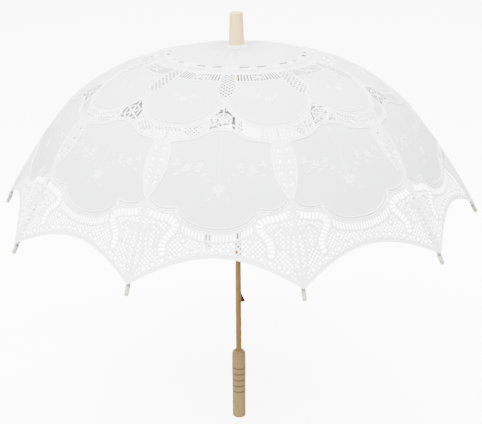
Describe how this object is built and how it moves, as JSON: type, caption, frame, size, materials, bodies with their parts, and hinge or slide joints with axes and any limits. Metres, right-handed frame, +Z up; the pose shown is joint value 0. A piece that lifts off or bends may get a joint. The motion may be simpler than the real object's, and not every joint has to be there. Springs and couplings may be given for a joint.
{
  "type": "lace parasol",
  "caption": "Open lace parasol with a domed scalloped canopy, turned wood handle and ferrule, folding ribs and a sliding runner.",
  "frame": {"origin": "centre of the handle's flat lower end", "axes": "+Z up the shaft to the ferrule; -Y is the front, midway between two ribs; +X lies along a rib, on the catches' side"},
  "size_m": [0.7734, 0.7358, 0.7045],
  "materials": {
    "shaft_wood": "clear-lacquered straight-grained wood",
    "handle_wood": "satin turned wood",
    "ferrule_wood": "pale satin turned wood",
    "frame_wire": "plated spring wire",
    "fitting_metal": "plated, satin",
    "pin_metal": "bright pins",
    "catch_wire": "dark burnished spring wire",
    "tip_cap": "cream turned cap with a grey band",
    "lace": "white cotton tape lace with fine cloth panels",
    "ribbon": "white gathered cotton"
  },
  "bodies": {
    "shaft_body": {"shaft": "shaft_wood", "shaft_pins": "pin_metal", "handle": "handle_wood", "ferrule": "ferrule_wood", "crown_notch": "fitting_metal", "crown_rosette": "ribbon"},
    "rib_1": {"rib_inner_1": "frame_wire"},
    "rib_1_end": {"rib_outer_1": "frame_wire", "tip_1": "tip_cap", "canopy_gore_1": "lace"},
    "stretcher_1_body": {"stretcher_1": "frame_wire"},
    "rib_2": {"rib_inner_2": "frame_wire"},
    "rib_2_end": {"rib_outer_2": "frame_wire", "tip_2": "tip_cap", "canopy_gore_2": "lace"},
    "stretcher_2_body": {"stretcher_2": "frame_wire"},
    "rib_3": {"rib_inner_3": "frame_wire"},
    "rib_3_end": {"rib_outer_3": "frame_wire", "tip_3": "tip_cap", "canopy_gore_3": "lace"},
    "stretcher_3_body": {"stretcher_3": "frame_wire"},
    "rib_4": {"rib_inner_4": "frame_wire"},
    "rib_4_end": {"rib_outer_4": "frame_wire", "tip_4": "tip_cap", "canopy_gore_4": "lace"},
    "stretcher_4_body": {"stretcher_4": "frame_wire"},
    "rib_5": {"rib_inner_5": "frame_wire"},
    "rib_5_end": {"rib_outer_5": "frame_wire", "tip_5": "tip_cap", "canopy_gore_5": "lace"},
    "stretcher_5_body": {"stretcher_5": "frame_wire"},
    "rib_6": {"rib_inner_6": "frame_wire"},
    "rib_6_end": {"rib_outer_6": "frame_wire", "tip_6": "tip_cap", "canopy_gore_6": "lace"},
    "stretcher_6_body": {"stretcher_6": "frame_wire"},
    "rib_7": {"rib_inner_7": "frame_wire"},
    "rib_7_end": {"rib_outer_7": "frame_wire", "tip_7": "tip_cap", "canopy_gore_7": "lace"},
    "stretcher_7_body": {"stretcher_7": "frame_wire"},
    "rib_8": {"rib_inner_8": "frame_wire"},
    "rib_8_end": {"rib_outer_8": "frame_wire", "tip_8": "tip_cap", "canopy_gore_8": "lace"},
    "stretcher_8_body": {"stretcher_8": "frame_wire"},
    "rib_9": {"rib_inner_9": "frame_wire"},
    "rib_9_end": {"rib_outer_9": "frame_wire", "tip_9": "tip_cap", "canopy_gore_9": "lace"},
    "stretcher_9_body": {"stretcher_9": "frame_wire"},
    "rib_10": {"rib_inner_10": "frame_wire"},
    "rib_10_end": {"rib_outer_10": "frame_wire", "tip_10": "tip_cap", "canopy_gore_10": "lace", "tie_strap": "ribbon"},
    "stretcher_10_body": {"stretcher_10": "frame_wire"},
    "runner_body": {"runner": "fitting_metal"},
    "catch_lower_body": {"catch_lower": "catch_wire"},
    "catch_upper_body": {"catch_upper": "catch_wire"}
  },
  "joints": [
    {"name": "canopy_fold", "type": "hinge", "parent": "shaft_body", "child": "rib_1", "pos_m": [0.0034, -0.01046, 0.6455], "axis": [0.9511, 0.309, 0], "range_deg": [0, 72], "deforming": ["canopy_gore_1", "canopy_gore_2", "canopy_gore_3", "canopy_gore_4", "canopy_gore_5", "canopy_gore_6", "canopy_gore_7", "canopy_gore_8", "canopy_gore_9", "canopy_gore_10", "tie_strap"]},
    {"name": "rib_1_flex", "type": "hinge", "parent": "rib_1", "child": "rib_1_end", "pos_m": [0.06891, -0.21209, 0.59506], "axis": [0.9511, 0.309, 0], "range_deg": [-33, 0]},
    {"name": "stretcher_1_fold", "type": "hinge", "parent": "rib_1", "child": "stretcher_1_body", "pos_m": [0.06891, -0.21209, 0.59506], "axis": [0.9511, 0.309, 0], "range_deg": [-144, 0]},
    {"name": "rib_2_fold", "type": "hinge", "parent": "shaft_body", "child": "rib_2", "pos_m": [0.0089, -0.00647, 0.6455], "axis": [0.5878, 0.809, 0], "range_deg": [0, 72]},
    {"name": "rib_2_flex", "type": "hinge", "parent": "rib_2", "child": "rib_2_end", "pos_m": [0.18042, -0.13108, 0.59506], "axis": [0.5878, 0.809, 0], "range_deg": [-33, 0]},
    {"name": "stretcher_2_fold", "type": "hinge", "parent": "rib_2", "child": "stretcher_2_body", "pos_m": [0.18042, -0.13108, 0.59506], "axis": [0.5878, 0.809, 0], "range_deg": [-144, 0]},
    {"name": "rib_3_fold", "type": "hinge", "parent": "shaft_body", "child": "rib_3", "pos_m": [0.011, 0, 0.6455], "axis": [0, 1, 0], "range_deg": [0, 72]},
    {"name": "rib_3_flex", "type": "hinge", "parent": "rib_3", "child": "rib_3_end", "pos_m": [0.22301, 0, 0.59506], "axis": [0, 1, 0], "range_deg": [-33, 0]},
    {"name": "stretcher_3_fold", "type": "hinge", "parent": "rib_3", "child": "stretcher_3_body", "pos_m": [0.22301, 0, 0.59506], "axis": [0, 1, 0], "range_deg": [-144, 0]},
    {"name": "rib_4_fold", "type": "hinge", "parent": "shaft_body", "child": "rib_4", "pos_m": [0.0089, 0.00647, 0.6455], "axis": [-0.5878, 0.809, 0], "range_deg": [0, 72]},
    {"name": "rib_4_flex", "type": "hinge", "parent": "rib_4", "child": "rib_4_end", "pos_m": [0.18042, 0.13108, 0.59506], "axis": [-0.5878, 0.809, 0], "range_deg": [-33, 0]},
    {"name": "stretcher_4_fold", "type": "hinge", "parent": "rib_4", "child": "stretcher_4_body", "pos_m": [0.18042, 0.13108, 0.59506], "axis": [-0.5878, 0.809, 0], "range_deg": [-144, 0]},
    {"name": "rib_5_fold", "type": "hinge", "parent": "shaft_body", "child": "rib_5", "pos_m": [0.0034, 0.01046, 0.6455], "axis": [-0.9511, 0.309, 0], "range_deg": [0, 72]},
    {"name": "rib_5_flex", "type": "hinge", "parent": "rib_5", "child": "rib_5_end", "pos_m": [0.06891, 0.21209, 0.59506], "axis": [-0.9511, 0.309, 0], "range_deg": [-33, 0]},
    {"name": "stretcher_5_fold", "type": "hinge", "parent": "rib_5", "child": "stretcher_5_body", "pos_m": [0.06891, 0.21209, 0.59506], "axis": [-0.9511, 0.309, 0], "range_deg": [-144, 0]},
    {"name": "rib_6_fold", "type": "hinge", "parent": "shaft_body", "child": "rib_6", "pos_m": [-0.0034, 0.01046, 0.6455], "axis": [-0.9511, -0.309, 0], "range_deg": [0, 72]},
    {"name": "rib_6_flex", "type": "hinge", "parent": "rib_6", "child": "rib_6_end", "pos_m": [-0.06891, 0.21209, 0.59506], "axis": [-0.9511, -0.309, 0], "range_deg": [-33, 0]},
    {"name": "stretcher_6_fold", "type": "hinge", "parent": "rib_6", "child": "stretcher_6_body", "pos_m": [-0.06891, 0.21209, 0.59506], "axis": [-0.9511, -0.309, 0], "range_deg": [-144, 0]},
    {"name": "rib_7_fold", "type": "hinge", "parent": "shaft_body", "child": "rib_7", "pos_m": [-0.0089, 0.00647, 0.6455], "axis": [-0.5878, -0.809, 0], "range_deg": [0, 72]},
    {"name": "rib_7_flex", "type": "hinge", "parent": "rib_7", "child": "rib_7_end", "pos_m": [-0.18042, 0.13108, 0.59506], "axis": [-0.5878, -0.809, 0], "range_deg": [-33, 0]},
    {"name": "stretcher_7_fold", "type": "hinge", "parent": "rib_7", "child": "stretcher_7_body", "pos_m": [-0.18042, 0.13108, 0.59506], "axis": [-0.5878, -0.809, 0], "range_deg": [-144, 0]},
    {"name": "rib_8_fold", "type": "hinge", "parent": "shaft_body", "child": "rib_8", "pos_m": [-0.011, 0, 0.6455], "axis": [0, -1, 0], "range_deg": [0, 72]},
    {"name": "rib_8_flex", "type": "hinge", "parent": "rib_8", "child": "rib_8_end", "pos_m": [-0.22301, 0, 0.59506], "axis": [0, -1, 0], "range_deg": [-33, 0]},
    {"name": "stretcher_8_fold", "type": "hinge", "parent": "rib_8", "child": "stretcher_8_body", "pos_m": [-0.22301, 0, 0.59506], "axis": [0, -1, 0], "range_deg": [-144, 0]},
    {"name": "rib_9_fold", "type": "hinge", "parent": "shaft_body", "child": "rib_9", "pos_m": [-0.0089, -0.00647, 0.6455], "axis": [0.5878, -0.809, 0], "range_deg": [0, 72]},
    {"name": "rib_9_flex", "type": "hinge", "parent": "rib_9", "child": "rib_9_end", "pos_m": [-0.18042, -0.13108, 0.59506], "axis": [0.5878, -0.809, 0], "range_deg": [-33, 0]},
    {"name": "stretcher_9_fold", "type": "hinge", "parent": "rib_9", "child": "stretcher_9_body", "pos_m": [-0.18042, -0.13108, 0.59506], "axis": [0.5878, -0.809, 0], "range_deg": [-144, 0]},
    {"name": "rib_10_fold", "type": "hinge", "parent": "shaft_body", "child": "rib_10", "pos_m": [-0.0034, -0.01046, 0.6455], "axis": [0.9511, -0.309, 0], "range_deg": [0, 72]},
    {"name": "rib_10_flex", "type": "hinge", "parent": "rib_10", "child": "rib_10_end", "pos_m": [-0.06891, -0.21209, 0.59506], "axis": [0.9511, -0.309, 0], "range_deg": [-33, 0]},
    {"name": "stretcher_10_fold", "type": "hinge", "parent": "rib_10", "child": "stretcher_10_body", "pos_m": [-0.06891, -0.21209, 0.59506], "axis": [0.9511, -0.309, 0], "range_deg": [-144, 0]},
    {"name": "runner_fold", "type": "hinge", "parent": "stretcher_1_body", "child": "runner_body", "pos_m": [0.0034, -0.01046, 0.54463], "axis": [0.9511, 0.309, 0], "range_deg": [0, 72]},
    {"name": "catch_lower_press", "type": "hinge", "parent": "shaft_body", "child": "catch_lower_body", "pos_m": [0.00333, 0.00108, 0.2355], "axis": [-0.309, 0.9511, 0], "range_deg": [0, 20], "stiffness_Nm_per_rad": 0.3},
    {"name": "catch_upper_press", "type": "hinge", "parent": "shaft_body", "child": "catch_upper_body", "pos_m": [0.00333, 0.00108, 0.47813], "axis": [0.309, -0.9511, 0], "range_deg": [0, 20], "stiffness_Nm_per_rad": 0.3}
  ],
  "couplings": [
    {"joint": "rib_1_flex", "follows": "canopy_fold", "ratio": -0.45833},
    {"joint": "stretcher_1_fold", "follows": "canopy_fold", "ratio": -2},
    {"joint": "rib_2_fold", "follows": "canopy_fold", "ratio": 1},
    {"joint": "rib_2_flex", "follows": "canopy_fold", "ratio": -0.45833},
    {"joint": "stretcher_2_fold", "follows": "canopy_fold", "ratio": -2},
    {"joint": "rib_3_fold", "follows": "canopy_fold", "ratio": 1},
    {"joint": "rib_3_flex", "follows": "canopy_fold", "ratio": -0.45833},
    {"joint": "stretcher_3_fold", "follows": "canopy_fold", "ratio": -2},
    {"joint": "rib_4_fold", "follows": "canopy_fold", "ratio": 1},
    {"joint": "rib_4_flex", "follows": "canopy_fold", "ratio": -0.45833},
    {"joint": "stretcher_4_fold", "follows": "canopy_fold", "ratio": -2},
    {"joint": "rib_5_fold", "follows": "canopy_fold", "ratio": 1},
    {"joint": "rib_5_flex", "follows": "canopy_fold", "ratio": -0.45833},
    {"joint": "stretcher_5_fold", "follows": "canopy_fold", "ratio": -2},
    {"joint": "rib_6_fold", "follows": "canopy_fold", "ratio": 1},
    {"joint": "rib_6_flex", "follows": "canopy_fold", "ratio": -0.45833},
    {"joint": "stretcher_6_fold", "follows": "canopy_fold", "ratio": -2},
    {"joint": "rib_7_fold", "follows": "canopy_fold", "ratio": 1},
    {"joint": "rib_7_flex", "follows": "canopy_fold", "ratio": -0.45833},
    {"joint": "stretcher_7_fold", "follows": "canopy_fold", "ratio": -2},
    {"joint": "rib_8_fold", "follows": "canopy_fold", "ratio": 1},
    {"joint": "rib_8_flex", "follows": "canopy_fold", "ratio": -0.45833},
    {"joint": "stretcher_8_fold", "follows": "canopy_fold", "ratio": -2},
    {"joint": "rib_9_fold", "follows": "canopy_fold", "ratio": 1},
    {"joint": "rib_9_flex", "follows": "canopy_fold", "ratio": -0.45833},
    {"joint": "stretcher_9_fold", "follows": "canopy_fold", "ratio": -2},
    {"joint": "rib_10_fold", "follows": "canopy_fold", "ratio": 1},
    {"joint": "rib_10_flex", "follows": "canopy_fold", "ratio": -0.45833},
    {"joint": "stretcher_10_fold", "follows": "canopy_fold", "ratio": -2},
    {"joint": "runner_fold", "follows": "canopy_fold", "ratio": 1}
  ]
}
